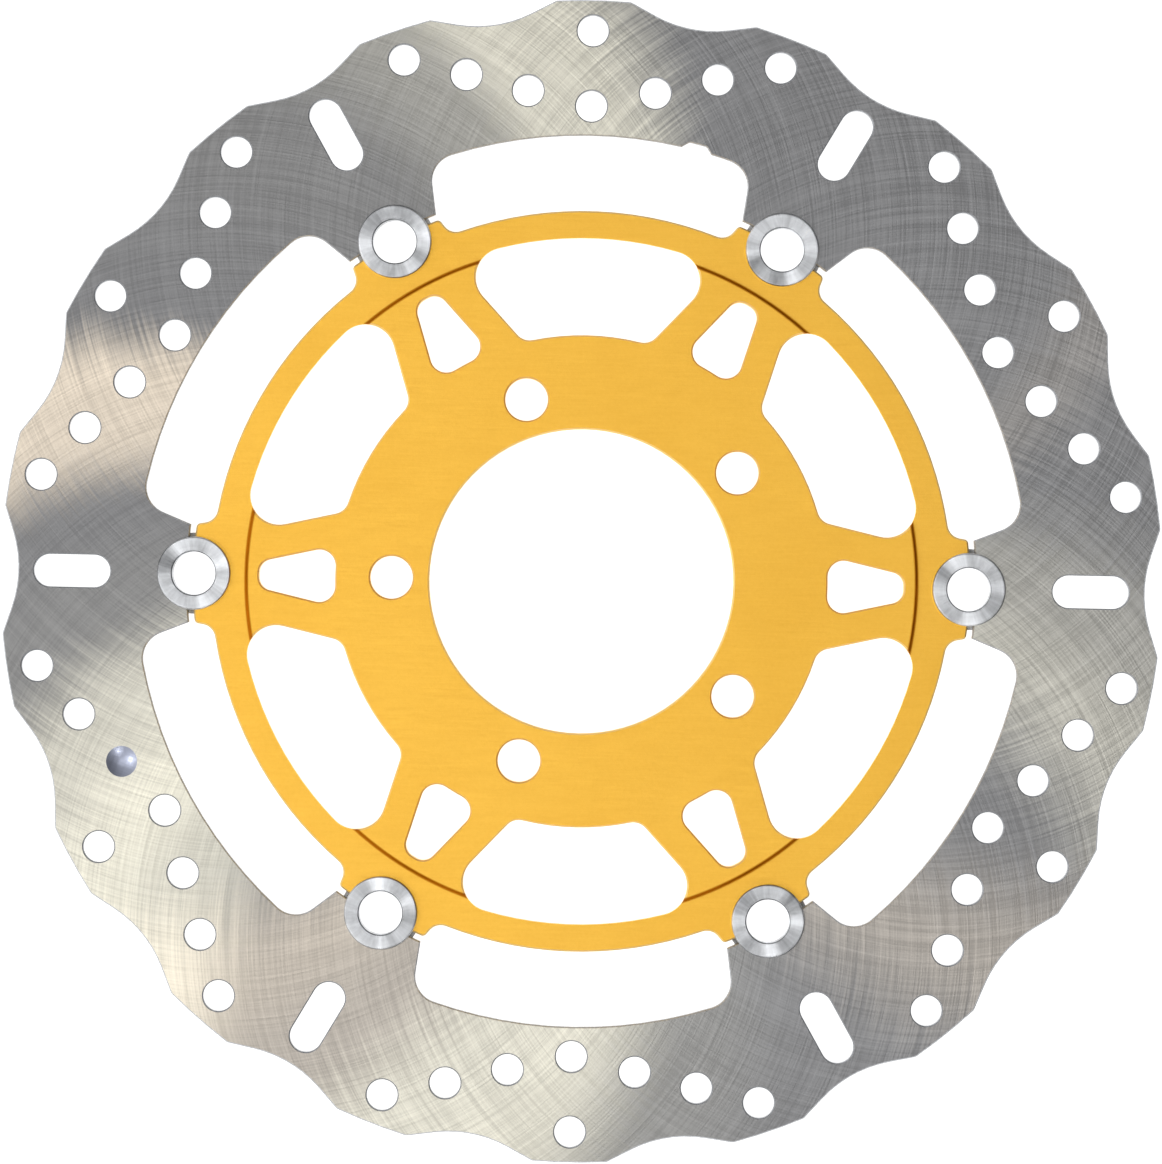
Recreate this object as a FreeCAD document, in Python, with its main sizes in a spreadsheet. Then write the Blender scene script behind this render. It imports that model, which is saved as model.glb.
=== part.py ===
"""Semi-floating brake disc for a motorcycle wheel.

A petal-edged stainless friction ring hangs on six bobbins from an aluminium
carrier, which bolts to the wheel hub. Each bobbin is held from behind by a flat
washer, a wave washer and a circlip.

Frame: millimetres, the disc lies flat, +Z is its axis and points to the face
that shows on the motorcycle. The origin is on the axis, at the carrier's back
face, which seats on the wheel hub.
"""
import FreeCAD
import Part
import Sketcher
import math
import os

# alias in the sheet, value, what it is. Angles are in degrees, the rest in mm.
DIMENSIONS = [
    ("ring_diameter", 300.0, "friction ring, over the tips of the lobes"),
    ("ring_thickness", 5.0, "friction ring, front face to back face"),
    ("ring_back", 1.5, "height of the back face of the friction ring and the carrier lugs"),
    ("track_inner_radius", 115.05, "inner edge of the rubbing track, between the lugs"),
    ("ring_lug_end_radius", 101.8, "inward end of a friction ring lug"),
    ("ring_lug_half_width", 12.65, "half the width of a friction ring lug at its end"),
    ("ring_lug_flare", 22.0, "how much a ring lug's flank leans away from its centre line"),
    ("ring_lug_fillet", 7.0, "corner between a ring lug and the track's inner edge"),
    ("lobe_count", 18, "lobes, and valleys, round the outer edge"),
    ("valley_floor_radius", 145.35, "lowest point of a valley"),
    ("valley_radius", 31.5, "radius of a valley's round bottom"),
    ("valley_flank_angle", 72.0, "slope of a valley's straight sides, from its centre line"),
    ("lobe_corner_fillet", 1.5, "rounding where a valley meets the outside diameter"),
    ("drill_diameter", 8.0, "holes drilled through the rubbing track"),
    ("drill_circle_rim", 142.1, "radius of the row of holes inside the lobes"),
    ("drill_circle_mid", 134.1, "radius of the pairs of holes beside the slots"),
    ("drill_circle_inner", 127.4, "radius of the pairs of holes inside those"),
    ("drill_circle_root", 122.65, "radius of the single holes nearest the axis"),
    ("drill_mid_angle", 14.0, "a mid hole, from the middle between two bobbins"),
    ("drill_inner_angle", 7.4, "an inner hole, from the middle between two bobbins"),
    ("slot_inner_radius", 121.6, "inward end of a radial slot"),
    ("slot_outer_radius", 141.3, "outward end of a radial slot"),
    ("slot_width", 8.4, "width of a radial slot"),
    ("dimple_depth", 1.4, "depth of the round dimple that shows wear"),
    ("notch_angle", 76.25, "direction of the relief notch in the track's inner edge"),
    ("notch_width", 4.6, "width of that notch's floor, between its sloping sides"),
    ("notch_depth", 1.6, "depth of that notch, outwards"),
    ("notch_fillet", 1.0, "rounding of that notch's floor"),
    ("ring_edge_break", 0.3, "chamfer on the friction ring's edges"),
    ("station_count", 6, "bobbins, and everything that repeats with them"),
    ("bobbin_circle_radius", 100.0, "distance of a bobbin's axis from the disc's axis"),
    ("bobbin_body_radius", 7.5, "bobbin, the round body that the lugs bear on"),
    ("bobbin_clearance", 0.08, "gap between a bobbin's body and its half-round seats"),
    ("bobbin_hole_radius", 5.6, "hole through a bobbin"),
    ("flange_radius", 9.45, "bobbin flange, in front of the lugs"),
    ("flange_thickness", 1.5, "bobbin flange, which is faced flat"),
    ("bobbin_edge_break", 0.3, "small chamfers on a bobbin"),
    ("bobbin_tail", -2.5, "height of a bobbin's back end"),
    ("groove_depth", 0.35, "circlip groove in a bobbin"),
    ("groove_slack", 0.06, "groove width beyond the circlip's thickness"),
    ("washer_outer_radius", 10.5, "flat washer, which bridges both lugs from behind"),
    ("washer_thickness", 1.0, "flat washer"),
    ("washer_clearance", 0.1, "gap between a flat washer and the bobbin's body"),
    ("wave_inner_radius", 7.7, "wave washer, inside"),
    ("wave_outer_radius", 9.9, "wave washer, outside"),
    ("wave_thickness", 0.4, "wave washer, its strip"),
    ("wave_gap", 1.2, "room for the wave washer, flat washer to circlip"),
    ("wave_slack", 0.02, "air between the wave washer and each neighbour"),
    ("wave_count", 3, "waves round a wave washer"),
    ("circlip_thickness", 1.0, "circlip"),
    ("circlip_band_radius", 9.0, "outside of a circlip's band"),
    ("circlip_gap_half_width", 2.6, "half the gap between a circlip's ears"),
    ("circlip_ear_radius", 1.7, "rounding of a circlip's ear"),
    ("circlip_ear_offset", 8.9, "distance of an ear's eye from the bobbin's axis"),
    ("circlip_ear_angle", 29.0, "direction of an ear's eye, from the middle of the gap"),
    ("circlip_eye_radius", 0.85, "hole for the pliers in a circlip's ear"),
    ("carrier_bore_radius", 39.25, "bore that fits over the wheel hub's spigot"),
    ("carrier_thickness", 8.0, "carrier, inside the turned steps"),
    ("step_radius", 86.6, "turned steps, front and back, down to the lugs"),
    ("carrier_rim_radius", 95.6, "carrier's outer edge, between its lugs"),
    ("carrier_lug_end_radius", 100.3, "outward end of a carrier lug"),
    ("carrier_lug_half_width", 12.8, "half the width of a carrier lug at its end"),
    ("carrier_lug_lean", 9.5, "how much a carrier lug's flank leans towards its centre line"),
    ("carrier_lug_fillet", 3.8, "corner between a carrier lug and the rim"),
    ("carrier_lug_corner", 1.2, "rounding of a carrier lug's outer corners"),
    ("window_inner_radius", 63.5, "inward edge of every window in the carrier"),
    ("window_outer_radius", 88.6, "outward edge of a large window"),
    ("window_flank_across", 18.0, "a point of a large window's side: across its centre line"),
    ("window_flank_out", 63.4, "the same point: along its centre line"),
    ("window_flank_angle", 47.0, "slope of a large window's side"),
    ("window_inner_fillet", 4.2, "inward corners of every window"),
    ("window_outer_fillet", 7.6, "outward corners of a large window"),
    ("slit_outer_radius", 83.2, "outward edge of a small window, behind a bobbin"),
    ("slit_flank_across", 6.9, "a point of a small window's side: across its centre line"),
    ("slit_flank_out", 67.5, "the same point: along its centre line"),
    ("slit_flank_angle", 102.8, "slope of a small window's side, which narrows outwards"),
    ("slit_outer_fillet", 3.5, "outward corners of a small window"),
    ("bolt_count", 5, "holes for the bolts to the wheel hub"),
    ("bolt_circle_radius", 49.0, "distance of a bolt hole from the axis"),
    ("bolt_hole_diameter", 11.0, "bolt hole"),
    ("carrier_edge_break", 0.4, "chamfer on the carrier's edges"),
]

UP = FreeCAD.Vector(0, 0, 1)
ORIGIN_POINT = (-1, 1)      # how a sketch names its own origin
X_AXIS = -1                 # and its horizontal axis
CENTRE = 3                  # and the centre of a circle or arc
NEAR = 0.02                 # two lengths this close, in mm, are the same
CUTTER_OVERRUN = 3.0        # how far an open cut runs past the edge it opens, in mm
SECTOR_SIDE = 90.0          # direction of the middle between two bobbins, in a sketch
WAVE_POINTS = 36            # points that one wavy edge is drawn through

document = FreeCAD.newDocument("BrakeDisc")
sheet = document.addObject("Spreadsheet::Sheet", "Dimensions")


def fill_sheet():
    """Write each driving dimension into the sheet under its own name."""
    for row, (alias, value, meaning) in enumerate(DIMENSIONS, start=1):
        sheet.set(f"A{row}", meaning)
        sheet.set(f"B{row}", str(value))
        sheet.setAlias(f"B{row}", alias)
    document.recompute()


def named(expression):
    """Put the sheet's name before each of its aliases in an expression."""
    words = expression.split(" ")
    aliases = {alias for alias, _, _ in DIMENSIONS}
    return " ".join("Dimensions." + word if word in aliases else word for word in words)


def size(expression):
    """The number that an expression over the sheet gives now."""
    result = sheet.evalExpression(named(expression))
    return float(getattr(result, "Value", result))


def polar(radius, angle):
    """X and Y expressions of a point at a radius and a direction in degrees."""
    return f"{radius} * cos( {angle} )", f"{radius} * sin( {angle} )"


# ---- sketches ----------------------------------------------------------------

def origin_feature(body, role):
    return next(item for item in body.Origin.OriginFeatures if item.Role == role)


def new_sketch(body, name, plane="XY_Plane", height="0", turn=0.0):
    """A sketch on one of the body's own planes, raised by height and turned."""
    sketch = body.newObject("Sketcher::SketchObject", name)
    sketch.AttachmentSupport = (origin_feature(body, plane), [""])
    sketch.MapMode = "FlatFace"
    turned = FreeCAD.Rotation(UP, turn)
    sketch.AttachmentOffset = FreeCAD.Placement(FreeCAD.Vector(), turned)
    sketch.setExpression("AttachmentOffset.Base.z", named(height))
    return sketch


def dimension(sketch, name, kind, where, expression):
    """A constraint whose value follows an expression over the sheet."""
    value = size(expression)
    if kind == "Angle":
        value = math.radians(value)
    index = sketch.addConstraint(Sketcher.Constraint(kind, *where, value))
    sketch.renameConstraint(index, name)
    sketch.setExpression("Constraints." + name, named(expression))


def place(sketch, name, item, point, x, y):
    """Fix a point of a drawn item at x and y from the sketch's origin."""
    dimension(sketch, name + "_x", "DistanceX", (*ORIGIN_POINT, item, point), x)
    dimension(sketch, name + "_y", "DistanceY", (*ORIGIN_POINT, item, point), y)


def join(sketch, *pairs):
    """Make pairs of end points meet."""
    for first, first_end, second, second_end in pairs:
        ends = (first, first_end, second, second_end)
        sketch.addConstraint(Sketcher.Constraint("Coincident", *ends))


def draw_circle(sketch, name, radius, centre=None):
    """A circle about the sketch's origin, or about a centre given as x and y."""
    x, y = centre or ("0", "0")
    middle = FreeCAD.Vector(size(x), size(y), 0)
    circle = sketch.addGeometry(Part.Circle(middle, UP, size(radius)))
    dimension(sketch, name + "_radius", "Radius", (circle,), radius)
    if centre is None:
        join(sketch, (circle, CENTRE, *ORIGIN_POINT))
    else:
        place(sketch, name, circle, CENTRE, x, y)


def draw_outline(sketch, corners, name="corner"):
    """A closed outline of straight lines through corners given as x and y."""
    points = [FreeCAD.Vector(size(x), size(y), 0) for x, y in corners]
    ends = points[1:] + points[:1]
    lines = [sketch.addGeometry(Part.LineSegment(a, b)) for a, b in zip(points, ends)]
    join(sketch, *[(a, 2, b, 1) for a, b in zip(lines, lines[1:] + lines[:1])])
    for number, (line, (x, y)) in enumerate(zip(lines, corners)):
        place(sketch, f"{name}{number}", line, 1, x, y)


def crossing(start, angle, radius):
    """Where a line from start, at an angle in degrees, crosses a circle about the origin."""
    run = FreeCAD.Vector(math.cos(math.radians(angle)), math.sin(math.radians(angle)), 0)
    along = start.dot(run)
    step = math.sqrt(along ** 2 - start.Length ** 2 + radius ** 2) - along
    return start + run * step


def arc_about_origin(sketch, name, radius, right, left):
    """An arc about the origin, anticlockwise from the point right to the point left."""
    circle = Part.Circle(FreeCAD.Vector(), UP, size(radius))
    ends = [math.atan2(point.y, point.x) for point in (right, left)]
    arc = sketch.addGeometry(Part.ArcOfCircle(circle, *ends))
    join(sketch, (arc, CENTRE, *ORIGIN_POINT))
    dimension(sketch, name, "Radius", (arc,), radius)
    return arc


def draw_sector(sketch, inner, outer, across, out, flank_angle):
    """A window about the Y axis: two arcs about the origin and two straight sides.

    The right side passes the point (across, out) at flank_angle, and the left side
    mirrors it.
    """
    right = FreeCAD.Vector(size(across), size(out), 0)
    angle = size(flank_angle)
    low = crossing(right, angle, size(inner))
    high = crossing(right, angle, size(outer))
    low_left, high_left, left = [FreeCAD.Vector(-p.x, p.y, 0) for p in (low, high, right)]
    outer_arc = arc_about_origin(sketch, "outer", outer, high, high_left)
    inner_arc = arc_about_origin(sketch, "inner", inner, low, low_left)
    right_side = sketch.addGeometry(Part.LineSegment(low, high))
    left_side = sketch.addGeometry(Part.LineSegment(high_left, low_left))
    join(
        sketch,
        (right_side, 2, outer_arc, 1),
        (outer_arc, 2, left_side, 1),
        (left_side, 2, inner_arc, 2),
        (inner_arc, 1, right_side, 1),
    )
    hold_side(sketch, "right", right_side, right, (across, out), flank_angle)
    hold_side(sketch, "left", left_side, left, (f"-( {across} )", out), f"-( {flank_angle} )")


def hold_side(sketch, name, side, point, place_of_point, angle):
    """Make a side pass a fixed point at a fixed angle."""
    mark = sketch.addGeometry(Part.Point(point), True)
    place(sketch, name, mark, 1, *place_of_point)
    sketch.addConstraint(Sketcher.Constraint("PointOnObject", mark, 1, side))
    dimension(sketch, name + "_angle", "Angle", (side,), angle)


def tangent_chain(sketch, *items):
    """Join items end to end, smoothly."""
    for first, second in zip(items, items[1:]):
        sketch.addConstraint(Sketcher.Constraint("Tangent", first, 2, second, 1))


def draw_slot(sketch, inner, outer, width):
    """A slot along the X axis with full round ends."""
    radius = size(width) / 2
    far = FreeCAD.Vector(size(outer) - radius, 0, 0)
    near = FreeCAD.Vector(size(inner) + radius, 0, 0)
    side = FreeCAD.Vector(0, radius, 0)
    quarter = math.pi / 2
    far_circle, near_circle = Part.Circle(far, UP, radius), Part.Circle(near, UP, radius)
    far_end = sketch.addGeometry(Part.ArcOfCircle(far_circle, -quarter, quarter))
    upper = sketch.addGeometry(Part.LineSegment(far + side, near + side))
    near_end = sketch.addGeometry(Part.ArcOfCircle(near_circle, quarter, 3 * quarter))
    lower = sketch.addGeometry(Part.LineSegment(near - side, far - side))
    tangent_chain(sketch, far_end, upper, near_end, lower, far_end)
    sketch.addConstraint(Sketcher.Constraint("Equal", far_end, near_end))
    for end in (far_end, near_end):
        sketch.addConstraint(Sketcher.Constraint("PointOnObject", end, CENTRE, X_AXIS))
    dimension(sketch, "end_radius", "Radius", (far_end,), f"{width} / 2")
    reach = (*ORIGIN_POINT, far_end, CENTRE)
    dimension(sketch, "far_centre", "DistanceX", reach, f"{outer} - {width} / 2")
    reach = (*ORIGIN_POINT, near_end, CENTRE)
    dimension(sketch, "near_centre", "DistanceX", reach, f"{inner} + {width} / 2")


def draw_valley(sketch):
    """A valley on the X axis: a round bottom that runs into straight sides."""
    radius = size("valley_radius")
    centre = FreeCAD.Vector(size("valley_floor_radius") + radius, 0, 0)
    lean = math.radians(90 - size("valley_flank_angle"))
    start, end = math.pi - lean, math.pi + lean
    bottom = sketch.addGeometry(Part.ArcOfCircle(Part.Circle(centre, UP, radius), start, end))
    touch = centre + FreeCAD.Vector(math.cos(start), math.sin(start), 0) * radius
    mouth = size("ring_diameter") / 2 + CUTTER_OVERRUN
    rise = (mouth - touch.x) / math.tan(lean)
    top = FreeCAD.Vector(mouth, touch.y + rise, 0)
    upper = sketch.addGeometry(Part.LineSegment(top, touch))
    lower = sketch.addGeometry(Part.LineSegment(mirrored(touch), mirrored(top)))
    closing = sketch.addGeometry(Part.LineSegment(mirrored(top), top))
    tangent_chain(sketch, upper, bottom, lower)
    join(sketch, (lower, 2, closing, 1), (closing, 2, upper, 1))
    sketch.addConstraint(Sketcher.Constraint("PointOnObject", bottom, CENTRE, X_AXIS))
    sketch.addConstraint(Sketcher.Constraint("Symmetric", closing, 1, closing, 2, X_AXIS))
    dimension(sketch, "bottom", "Radius", (bottom,), "valley_radius")
    reach = (*ORIGIN_POINT, bottom, CENTRE)
    dimension(sketch, "centre", "DistanceX", reach, "valley_floor_radius + valley_radius")
    reach = (*ORIGIN_POINT, closing, 1)
    dimension(sketch, "mouth", "DistanceX", reach, f"ring_diameter / 2 + {CUTTER_OVERRUN}")
    dimension(sketch, "flank", "Angle", (upper,), "valley_flank_angle - 180")


def mirrored(point):
    """The same point on the other side of the X axis."""
    return FreeCAD.Vector(point.x, -point.y, 0)


# ---- features ----------------------------------------------------------------

def new_body(name):
    body = document.addObject("PartDesign::Body", name)
    body.Label = name
    return body


def finish_feature(body, feature, removes=False):
    """Make a feature the body's result, and see that it did its work."""
    before = 0.0 if body.Shape.isNull() else body.Shape.Volume
    body.Tip = feature
    document.recompute()
    change = body.Shape.Volume - before
    if (removes and change >= 0) or (not removes and change <= 0):
        raise RuntimeError(f"{feature.Name} changed the volume by {change:.3f}")
    return feature


def pad(body, sketch, length):
    feature = body.newObject("PartDesign::Pad", sketch.Name + "Pad")
    feature.Profile = sketch
    feature.setExpression("Length", named(length))
    return finish_feature(body, feature)


def revolve(body, sketch):
    """Turn a half section, drawn on the XZ plane, about the Z axis."""
    feature = body.newObject("PartDesign::Revolution", sketch.Name + "Revolution")
    feature.Profile = sketch
    feature.ReferenceAxis = (sketch, ["V_Axis"])
    feature.Angle = 360
    return finish_feature(body, feature)


def cut_through(body, sketch):
    """Cut a sketch down through the whole body."""
    feature = body.newObject("PartDesign::Pocket", sketch.Name + "Pocket")
    feature.Profile = sketch
    feature.Type = "ThroughAll"
    return finish_feature(body, feature, removes=True)


def drill_through(body, sketch, diameter):
    """Drill a plain hole at each circle of a sketch."""
    feature = body.newObject("PartDesign::Hole", sketch.Name + "Hole")
    feature.Profile = sketch
    document.recompute()
    feature.DepthType = "ThroughAll"
    feature.setExpression("Diameter", named(diameter))
    return finish_feature(body, feature, removes=True)


def repeat(body, feature, count, span=360.0):
    """Repeat a cut about the Z axis."""
    pattern = body.newObject("PartDesign::PolarPattern", feature.Name + "Pattern")
    pattern.Originals = [feature]
    pattern.Axis = (origin_feature(body, "Z_Axis"), [""])
    pattern.Angle = span
    pattern.setExpression("Occurrences", named(count))
    return finish_feature(body, pattern, removes=True)


def upright_edges(shape, radius):
    """Names of the edges that stand along Z at one distance from the axis."""
    names = []
    for number, edge in enumerate(shape.Edges, start=1):
        ends = [vertex.Point for vertex in edge.Vertexes]
        if len(ends) < 2 or (ends[0] - ends[1]).cross(UP).Length > NEAR:
            continue
        if abs(math.hypot(ends[0].x, ends[0].y) - radius) < NEAR:
            names.append(f"Edge{number}")
    return names


def round_corners(body, name, corner_radius, fillet):
    """Round the upright edges that stand at one distance from the axis."""
    previous = body.Tip
    edges = upright_edges(body.Shape, size(corner_radius))
    feature = body.newObject("PartDesign::Fillet", name)
    feature.Base = (previous, edges)
    feature.setExpression("Radius", named(fillet))
    body.Tip = feature
    document.recompute()
    if feature.Shape.isNull():
        raise RuntimeError(f"{name}: no fillet on {len(edges)} edges")
    print(f"  {name}: {len(edges)} corners")


def level_edges(shape, heights, beyond):
    """Names of the edges that lie level at the given heights, outside a radius."""
    names = []
    for number, edge in enumerate(shape.Edges, start=1):
        box = edge.BoundBox
        level = box.ZLength < NEAR and any(abs(box.ZMin - z) < NEAR for z in heights)
        middle = edge.valueAt((edge.FirstParameter + edge.LastParameter) / 2)
        if level and math.hypot(middle.x, middle.y) > beyond:
            names.append(f"Edge{number}")
    return names


def break_edges(body, name, heights, width, beyond="0"):
    """Chamfer the level edges at the given heights, outside a radius."""
    previous = body.Tip
    edges = level_edges(body.Shape, [size(height) for height in heights], size(beyond))
    feature = body.newObject("PartDesign::Chamfer", name)
    feature.Base = (previous, edges)
    feature.setExpression("Size", named(width))
    finish_feature(body, feature, removes=True)
    print(f"  {name}: {len(edges)} edges")


# ---- the friction ring -------------------------------------------------------

RING_FRONT = "ring_back + ring_thickness"


def lug_corner(end_radius, half_width):
    """X and Y of a lug's corner, from the middle between that lug and the next."""
    half_pitch = "180 / station_count"
    angle = f"{half_pitch} * 1 deg - asin( {half_width} / {end_radius} )"
    return f"{end_radius} * sin( {angle} )", f"{end_radius} * cos( {angle} )"


def cut_between_ring_lugs(body):
    """Open the ring inwards between its six lugs, and round their roots."""
    corner = lug_corner("ring_lug_end_radius", "ring_lug_half_width")
    sketch = new_sketch(body, "BetweenRingLugs", height=RING_FRONT)
    inside = f"ring_lug_end_radius - {CUTTER_OVERRUN}"
    slope = "90 - 180 / station_count + ring_lug_flare"
    draw_sector(sketch, inside, "track_inner_radius", *corner, slope)
    repeat(body, cut_through(body, sketch), "station_count")
    round_corners(body, "RingLugRoots", "track_inner_radius", "ring_lug_fillet")


def cut_valleys(body):
    """Cut the petal edge."""
    sketch = new_sketch(body, "Valley", height=RING_FRONT)
    draw_valley(sketch)
    repeat(body, cut_through(body, sketch), "lobe_count")
    round_corners(body, "LobeCorners", "ring_diameter / 2", "lobe_corner_fillet")


def cut_bobbin_seats(body, name, height):
    """Half-round seats for the bobbins in the ends of the lugs."""
    sketch = new_sketch(body, name, height=height)
    seat = "bobbin_body_radius + bobbin_clearance"
    draw_circle(sketch, "seat", seat, ("bobbin_circle_radius", "0"))
    repeat(body, cut_through(body, sketch), "station_count")


def cut_slots(body):
    """Radial slots in line with the bobbins."""
    sketch = new_sketch(body, "RadialSlot", height=RING_FRONT)
    draw_slot(sketch, "slot_inner_radius", "slot_outer_radius", "slot_width")
    repeat(body, cut_through(body, sketch), "station_count")


def drill_row(body, name, places, count, span=360.0):
    """One row of drilled holes, as (radius, direction) places that repeat."""
    sketch = new_sketch(body, name, height=RING_FRONT)
    for number, (radius, angle) in enumerate(places):
        draw_circle(sketch, f"hole{number}", "drill_diameter / 2", polar(radius, angle))
    repeat(body, drill_through(body, sketch, "drill_diameter"), count, span)


def drill_track(body):
    """The drilled pattern: it repeats between bobbins, but for one missing hole."""
    middle = str(SECTOR_SIDE)
    drill_row(body, "RimHoles", [("drill_circle_rim", middle)], "lobe_count")
    drill_row(body, "RootHoles", [("drill_circle_root", middle)], "station_count")
    mids = [("drill_circle_mid", f"{middle} {sign} drill_mid_angle") for sign in "+-"]
    drill_row(body, "MidHoles", mids, "station_count")
    ahead = [("drill_circle_inner", f"{middle} + drill_inner_angle")]
    drill_row(body, "InnerHolesAhead", ahead, "station_count")
    pitch = 360.0 / size("station_count")
    first = SECTOR_SIDE - 3 * pitch
    behind = [("drill_circle_inner", f"{first} - drill_inner_angle")]
    span = 360.0 - 2 * pitch
    drill_row(body, "InnerHolesBehind", behind, "station_count - 1", span)


def press_dimple(body):
    """A blind round dimple where one hole is left out: gone, the ring is worn."""
    ball = body.newObject("PartDesign::SubtractiveSphere", "WearDimple")
    opening = "drill_diameter / 2"
    radius = f"( {opening} * {opening} / dimple_depth + dimple_depth ) / 2"
    pitch = 360.0 / size("station_count")
    angle = f"{SECTOR_SIDE + 2 * pitch} - drill_inner_angle"
    x, y = polar("drill_circle_inner", angle)
    ball.setExpression("Radius", named(radius))
    ball.setExpression("Placement.Base.x", named(x))
    ball.setExpression("Placement.Base.y", named(y))
    ball.setExpression("Placement.Base.z", named(f"{RING_FRONT} - dimple_depth + {radius}"))
    finish_feature(body, ball, removes=True)


def cut_relief_notch(body):
    """One shallow notch, with sloping sides, in the track's inner edge."""
    sketch = new_sketch(body, "ReliefNotch", height=RING_FRONT, turn=size("notch_angle"))
    near = f"track_inner_radius - {CUTTER_OVERRUN}"
    far = "track_inner_radius + notch_depth"
    floor = "notch_width / 2"
    mouth = f"( {floor} + notch_depth + {CUTTER_OVERRUN} )"
    draw_outline(sketch, [(near, f"-1 * {mouth}"), (far, f"-1 * {floor}"), (far, floor), (near, mouth)])
    cut_through(body, sketch)
    corner = f"sqrt( ( {far} ) ^ 2 + ( {floor} ) ^ 2 )"
    round_corners(body, "NotchFloorCorners", corner, "notch_fillet")


def make_friction_ring():
    body = new_body("friction_ring")
    sketch = new_sketch(body, "RingBlank", height="ring_back")
    draw_circle(sketch, "outside", "ring_diameter / 2")
    draw_circle(sketch, "inside", "ring_lug_end_radius")
    pad(body, sketch, "ring_thickness")
    cut_between_ring_lugs(body)
    cut_valleys(body)
    cut_relief_notch(body)
    cut_bobbin_seats(body, "RingSeats", RING_FRONT)
    cut_slots(body)
    drill_track(body)
    break_edges(body, "RingEdges", ["ring_back", RING_FRONT], "ring_edge_break")
    press_dimple(body)
    return body


# ---- the carrier -------------------------------------------------------------

def pad_carrier_blank(body):
    """A flat disc with a bore."""
    sketch = new_sketch(body, "CarrierBlank")
    draw_circle(sketch, "outside", "carrier_lug_end_radius")
    draw_circle(sketch, "bore", "carrier_bore_radius")
    pad(body, sketch, "carrier_thickness")


def step_cut(face, floor, outwards):
    """Section of the cut that lowers a face to a floor, with a chamfer on the step."""
    wall, outside = "step_radius", f"carrier_lug_end_radius + {CUTTER_OVERRUN}"
    inwards = "-" if outwards == "+" else "+"
    clear = f"{face} {outwards} {CUTTER_OVERRUN}"
    return [
        (wall, floor),
        (outside, floor),
        (outside, clear),
        (f"{wall} - carrier_edge_break", clear),
        (f"{wall} - carrier_edge_break", face),
        (wall, f"{face} {inwards} carrier_edge_break"),
    ]


def turn_steps(body):
    """The lathe work: the carrier is thinner outside a step, front and back."""
    sketch = new_sketch(body, "Steps", plane="XZ_Plane")
    draw_outline(sketch, step_cut("carrier_thickness", RING_FRONT, "+"), "front")
    draw_outline(sketch, step_cut("0", "ring_back", "-"), "back")
    feature = body.newObject("PartDesign::Groove", "StepsGroove")
    feature.Profile = sketch
    feature.ReferenceAxis = (sketch, ["V_Axis"])
    feature.Angle = 360
    finish_feature(body, feature, removes=True)


def cut_between_carrier_lugs(body):
    """Leave six lugs standing out of the rim."""
    corner = lug_corner("carrier_lug_end_radius", "carrier_lug_half_width")
    sketch = new_sketch(body, "BetweenCarrierLugs", height="carrier_thickness")
    outside = f"carrier_lug_end_radius + {CUTTER_OVERRUN}"
    slope = "90 - 180 / station_count - carrier_lug_lean"
    draw_sector(sketch, "carrier_rim_radius", outside, *corner, slope)
    repeat(body, cut_through(body, sketch), "station_count")
    round_corners(body, "CarrierLugRoots", "carrier_rim_radius", "carrier_lug_fillet")
    round_corners(body, "CarrierLugTips", "carrier_lug_end_radius", "carrier_lug_corner")


def cut_windows(body):
    """Six large windows between the bobbins and six small ones behind them."""
    front = "carrier_thickness"
    inner = "window_inner_radius"
    large = new_sketch(body, "LargeWindow", height=front)
    side = ("window_flank_across", "window_flank_out", "window_flank_angle")
    draw_sector(large, inner, "window_outer_radius", *side)
    repeat(body, cut_through(body, large), "station_count")
    half_pitch = 180.0 / size("station_count")
    small = new_sketch(body, "SmallWindow", height=front, turn=half_pitch)
    side = ("slit_flank_across", "slit_flank_out", "slit_flank_angle")
    draw_sector(small, inner, "slit_outer_radius", *side)
    repeat(body, cut_through(body, small), "station_count")
    round_corners(body, "WindowInnerCorners", inner, "window_inner_fillet")
    round_corners(body, "LargeWindowCorners", "window_outer_radius", "window_outer_fillet")
    round_corners(body, "SmallWindowCorners", "slit_outer_radius", "slit_outer_fillet")


def drill_bolt_holes(body):
    """Holes for the bolts to the wheel hub, one of them on the -X side."""
    sketch = new_sketch(body, "BoltHole", height="carrier_thickness")
    centre = ("-1 * bolt_circle_radius", "0")
    draw_circle(sketch, "bolt", "bolt_hole_diameter / 2", centre)
    repeat(body, drill_through(body, sketch, "bolt_hole_diameter"), "bolt_count")


def make_carrier():
    body = new_body("carrier")
    pad_carrier_blank(body)
    cut_between_carrier_lugs(body)
    cut_windows(body)
    drill_bolt_holes(body)
    break_edges(body, "HubEdges", ["0", "carrier_thickness"], "carrier_edge_break")
    turn_steps(body)
    cut_bobbin_seats(body, "CarrierSeats", "carrier_thickness")
    lug_faces = ["ring_back", RING_FRONT]
    break_edges(body, "LugEdges", lug_faces, "carrier_edge_break", "window_outer_radius + 1")
    return body


# ---- the pieces at each bobbin -----------------------------------------------

CIRCLIP_FRONT = "ring_back - washer_thickness - wave_gap"
CIRCLIP_BACK = f"{CIRCLIP_FRONT} - circlip_thickness"


def set_station(body, number):
    """Move a body, built about the Z axis, to its bobbin's place and direction."""
    angle = f"{number} * 360 deg / station_count"
    x, y = polar("bobbin_circle_radius", angle)
    body.Placement = FreeCAD.Placement(FreeCAD.Vector(), FreeCAD.Rotation(UP, 0))
    body.setExpression("Placement.Base.x", named(x))
    body.setExpression("Placement.Base.y", named(y))
    body.setExpression("Placement.Rotation.Angle", named(angle))


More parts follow.
